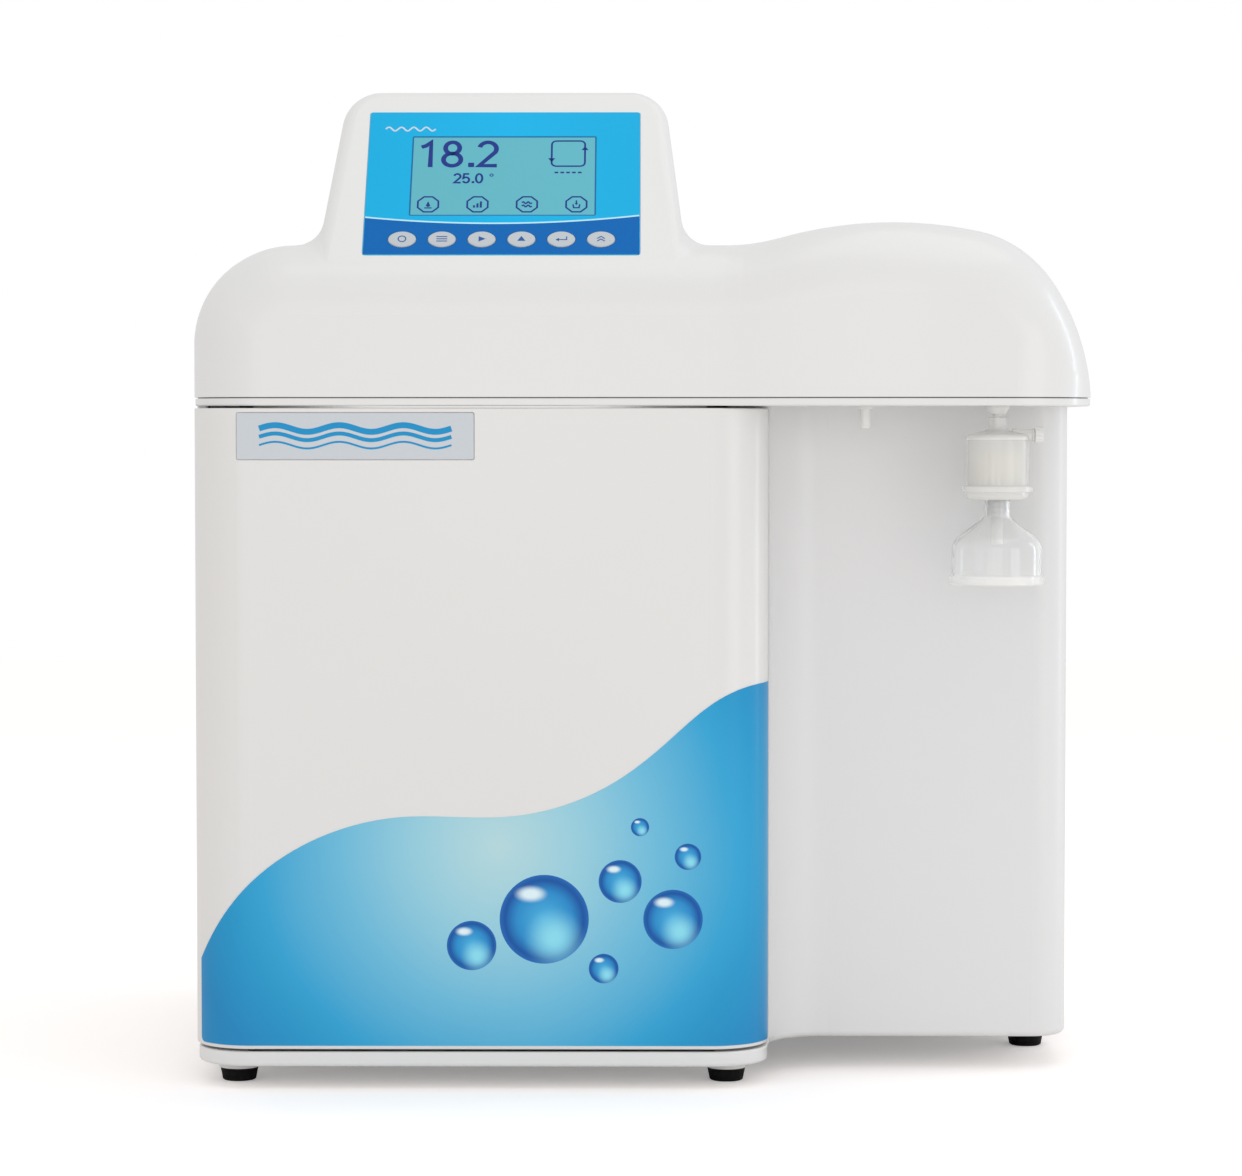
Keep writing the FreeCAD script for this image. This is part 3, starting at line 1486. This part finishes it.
def make_booster_pump():
    """Pump on its side: finned motor, pump head and two ports."""
    z = pump_axis_z()
    start = pump_x - pump_length / 2
    end = pump_x + pump_length / 2
    pump = turned([(0, 0), (pump_radius - pump_edge, 0), (pump_radius, pump_edge), (pump_radius, pump_length),
                   (0, pump_length)], (start, pump_y, z), RIGHT)
    head = turned([(0, 0), (pump_head_radius, 0), (pump_head_radius, pump_head_length - pump_head_edge),
                   (pump_head_radius - pump_head_edge, pump_head_length), (0, pump_head_length)],
                  (end, pump_y, z), RIGHT)
    pump = pump.fuse(head)
    for side in (-1, 1):
        port = cylinder(port_radius, pump_head_radius + pump_port_reach, (end + pump_head_length / 2, pump_y, z),
                        BACK * side)
        pump = pump.fuse(port)
    return pump


def make_pump_bracket():
    """Folded base with two saddles under the motor."""
    z = pump_axis_z()
    left = pump_x - pump_length / 2 + bracket_in
    right = pump_x + pump_length / 2 - bracket_in
    base = block((left, pump_y - pump_radius, tray_top), (right, pump_y + pump_radius, tray_top + sheet))
    for x in (left, right - sheet):
        saddle = block((x, pump_y - pump_radius, tray_top), (x + sheet, pump_y + pump_radius, z - saddle_drop))
        base = base.fuse(saddle)
    return base.cut(cylinder(pump_radius + fit_gap, 2 * pump_length, (pump_x - pump_length, pump_y, z), RIGHT))


def make_power_supply():
    """Vented power supply on the back of the partition."""
    width, depth, height = supply_size
    y = partition_y + sheet
    case = block((supply_x - width / 2, y, supply_level), (supply_x + width / 2, y + depth,
                                                           supply_level + height))
    for k in range(supply_slots):
        x = supply_x + (k - (supply_slots - 1) / 2) * supply_slot_pitch
        case = case.cut(block((x - supply_slot_width / 2, y + depth - supply_slot_depth,
                               supply_level + supply_slot_margin),
                              (x + supply_slot_width / 2, y + depth + overcut,
                               supply_level + height - supply_slot_margin)))
    return case


def valve_shape(x, y, z):
    """Solenoid valve standing at x, y, z: body, coil and its nut."""
    width, depth, height = valve_size
    body = block((x - width / 2, y - depth / 2, z), (x + width / 2, y + depth / 2, z + height))
    coil = turned([(0, 0), (valve_coil_radius, 0), (valve_coil_radius, valve_coil_height - valve_nut_height),
                   (valve_nut_radius, valve_coil_height - valve_nut_height),
                   (valve_nut_radius, valve_coil_height), (0, valve_coil_height)],
                  (x, y, z + height))
    return body.fuse(coil)


def make_solenoid_valves():
    y = partition_y + sheet + valve_size[1] / 2
    return Part.makeCompound([valve_shape(valve_first_x + k * valve_pitch, y, valve_level)
                              for k in range(valve_count)])


def make_dispense_valve():
    return valve_shape(dispense_x, dispense_y, deck_top)


def make_outlet_tube():
    """Hose from the dispensing valve to the top of the filter's coupler."""
    start = thread_top
    over = start + outlet_loop
    port = deck_top + valve_size[2] / 2
    return tube([(filter_x, outlet_y, start), (filter_x, outlet_y, over), (filter_x, dispense_y, over),
                 (filter_x, dispense_y, port), (dispense_x + valve_size[0] / 2, dispense_y, port)],
                tube_radius, outlet_bend)


def make_conductivity_cell():
    """In-line cell ahead of the dispensing valve."""
    end = dispense_x - valve_size[0] / 2
    z = deck_top + valve_size[2] / 2
    spigot = tube_radius + cell_spigot_wall
    return turned([(0, 0), (spigot, 0), (spigot, cell_spigot), (cell_radius, cell_spigot + cell_taper),
                   (cell_radius, cell_length - cell_spigot - cell_taper),
                   (spigot, cell_length - cell_spigot), (spigot, cell_length), (0, cell_length)],
                  (end - cell_length, dispense_y, z), RIGHT)


def make_uv_reactor():
    """Polished steel tube with end caps and two side ports."""
    cap = reactor_radius + reactor_cap_rim
    top = reactor_height + lamp_cap_height
    reactor = turned([(0, 0), (cap, 0), (cap, reactor_end), (reactor_radius, reactor_end),
                      (reactor_radius, reactor_height - reactor_end), (cap, reactor_height - reactor_end),
                      (cap, reactor_height), (lamp_cap_radius, reactor_height), (lamp_cap_radius, top),
                      (0, top)], (reactor_x, reactor_y, tray_top))
    for level in (reactor_port_in, reactor_height - reactor_port_in):
        port = cylinder(port_radius, reactor_radius + reactor_port_reach,
                        (reactor_x, reactor_y, tray_top + level), RIGHT * -1)
        reactor = reactor.fuse(port)
    return reactor


# ------------------------------------------------------------ rear connections

def panel_face():
    """Outer face of the rear panel."""
    return rear - sheet


def make_rear_fittings():
    """Push-in hose fittings through the rear panel, each with its inside nut."""
    fittings = []
    tail = 2 * fitting_flange + 2 * sheet
    reach = rear + rear_reach - panel_face()
    rim = fitting_hex + fitting_rim
    seat = tube_radius - fitting_seat
    for x in fitting_xs():
        collet = fitting_radius - fitting_collar_step
        body = turned([
            (seat, -tail), (fitting_radius, -tail), (fitting_radius, 0), (rim, 0), (rim, fitting_flange),
            (fitting_radius, fitting_flange), (fitting_radius, reach - fitting_collar_end),
            (collet, reach - fitting_collar_end + fitting_collar_slope), (collet, reach),
            (fitting_bore, reach), (fitting_bore, reach - fitting_socket), (seat, reach - fitting_socket)],
            (x, panel_face(), fitting_level), BACK)
        nut_thick = fitting_flange + fitting_nut_extra
        nut = hexagon(fitting_hex + fitting_nut_rim, nut_thick, (x, panel_face() - sheet, fitting_level),
                      BACK * -1)
        nut = nut.cut(cylinder(fitting_radius + running_clearance, 2 * tail, (x, panel_face() - 2 * tail,
                                                                              fitting_level), BACK))
        fittings += [body, nut]
    return Part.makeCompound(fittings)


def socket_z():
    return inlet_level - socket_drop


def rocker_z():
    return inlet_level + rocker_rise


def make_mains_inlet():
    """Mains socket and switch frame in one moulding."""
    y = panel_face()
    plate = round_block(inlet_width, inlet_height, inlet_flange, inlet_corner)
    plate.rotate(V(0, 0, 0), RIGHT, -90)
    plate.translate(V(inlet_x, y, inlet_level))
    half_width = inlet_width / 2 - inlet_lap - inlet_body_gap
    half_height = inlet_height / 2 - inlet_lap_end - inlet_body_gap
    body = block((inlet_x - half_width, y - inlet_depth, inlet_level - half_height),
                 (inlet_x + half_width, y + inlet_flange / 2, inlet_level + half_height))
    inlet = plate.fuse(body)
    mouth = y + inlet_flange
    socket = block((inlet_x - socket_width / 2, mouth - socket_depth, socket_z() - socket_height / 2),
                   (inlet_x + socket_width / 2, mouth + overcut, socket_z() + socket_height / 2))
    window_x = rocker_width / 2 + rocker_clearance
    window_z = rocker_height / 2 + rocker_clearance
    window = block((inlet_x - window_x, mouth - rocker_well, rocker_z() - window_z),
                   (inlet_x + window_x, mouth + overcut, rocker_z() + window_z))
    axle_reach = rocker_width / 2 + rocker_axle_end + rocker_axle_gap
    axle = cylinder(rocker_pin_radius + running_clearance, 2 * axle_reach,
                    (inlet_x - axle_reach, rocker_y(), rocker_z()), RIGHT)
    return inlet.cut(socket).cut(window).cut(axle)


def make_inlet_blades():
    """The three contacts in the socket."""
    blades = []
    back = panel_face() + inlet_flange - socket_depth
    for x, z in ((-blade_spacing, -blade_drop), (0, blade_drop), (blade_spacing, -blade_drop)):
        centre = V(inlet_x + x, 0, socket_z() + z)
        blades.append(block((centre.x - blade_thick / 2, back, centre.z - blade_width / 2),
                            (centre.x + blade_thick / 2, back + blade_length, centre.z + blade_width / 2)))
    return Part.makeCompound(blades)


def rocker_y():
    return panel_face() + inlet_flange - rocker_sink


def make_switch_rocker():
    """Rocker with its axle, resting with its lower half pressed in."""
    reach = rocker_height / 2 - rocker_ease
    crown_y = rocker_sink + rocker_proud
    outline = joined([arc(V(0, 0, 0), reach, 180, 360),
                      Part.makeLine(V(reach, 0, 0), V(reach, crown_y, 0)),
                      Part.makeLine(V(reach, crown_y, 0), V(0, crown_y - rocker_dish, 0)),
                      Part.makeLine(V(0, crown_y - rocker_dish, 0), V(-reach, crown_y, 0))])
    rocker = outline.extrude(UP * rocker_width)
    rocker.translate(UP * (-rocker_width / 2))
    axle = cylinder(rocker_pin_radius, rocker_width + 2 * rocker_axle_end,
                    (0, 0, -rocker_width / 2 - rocker_axle_end))
    rocker = rocker.fuse(axle)
    turn = FreeCAD.Rotation(BACK, -90)
    rocker.Placement = FreeCAD.Placement(V(0, 0, 0), turn)
    rocker.rotate(V(0, 0, 0), RIGHT, rocker_throw / 2)
    rocker.translate(V(inlet_x, rocker_y(), rocker_z()))
    return rocker


# ------------------------------------------------------------ the whole machine

def main():
    os.makedirs("parts", exist_ok=True)
    save("top_cover", make_top_cover())
    save("console_foil", make_console_foil())
    save("display_window", make_display_window())
    save("display_module", make_display_module())
    save("keypad_board", make_keypad_board())
    save("key_switches", make_key_switches())
    save("board_screws", make_board_screws())
    for index in range(key_count):
        save("key_%d" % (index + 1), make_key(index))
    save("deck_plate", make_deck_plate())
    save("base_tray", make_base_tray())
    save("feet", make_feet())
    save("foot_screws", make_foot_screws())
    save("left_panel", drill_panel(make_left_panel()))
    save("bay_shell", drill_panel(make_bay_shell()))
    save("rear_panel", make_rear_panel())
    save("panel_screws", make_panel_screws())
    save("front_door", make_front_door())
    save("door_film", make_door_film())
    save("badge_plate", make_badge_plate())
    save("strike_plates", make_strike_plates())
    save("door_magnets", make_door_magnets())
    save("hinge_pins", make_hinge_pins())
    save("outlet_coupler", make_outlet_coupler())
    save("hose_spout", make_spout())
    save("outlet_nuts", make_outlet_nuts())
    save("capsule_shell", make_capsule_shell())
    save("pleated_membrane", make_pleated_membrane())
    save("capsule_base", make_capsule_base())
    save("vent_knob", make_vent_knob())
    save("filling_bell", make_filling_bell())
    save("partition_panel", make_partition_panel())
    for index, sizes in enumerate(cartridge_sizes):
        save(sizes[0], make_cartridge(index))
    save("cartridge_clips", make_cartridge_clips())
    save("link_tubes", make_link_tubes())
    save("feed_tube", through_tube(feed_port()))
    save("product_tube", through_tube(product_port()))
    save("booster_pump", make_booster_pump())
    save("pump_bracket", make_pump_bracket())
    save("power_supply", make_power_supply())
    save("solenoid_valves", make_solenoid_valves())
    save("dispense_valve", make_dispense_valve())
    save("outlet_tube", make_outlet_tube())
    save("conductivity_cell", make_conductivity_cell())
    save("uv_reactor", make_uv_reactor())
    save("rear_fittings", make_rear_fittings())
    save("mains_inlet", make_mains_inlet())
    save("inlet_blades", make_inlet_blades())
    save("switch_rocker", make_switch_rocker())


main()
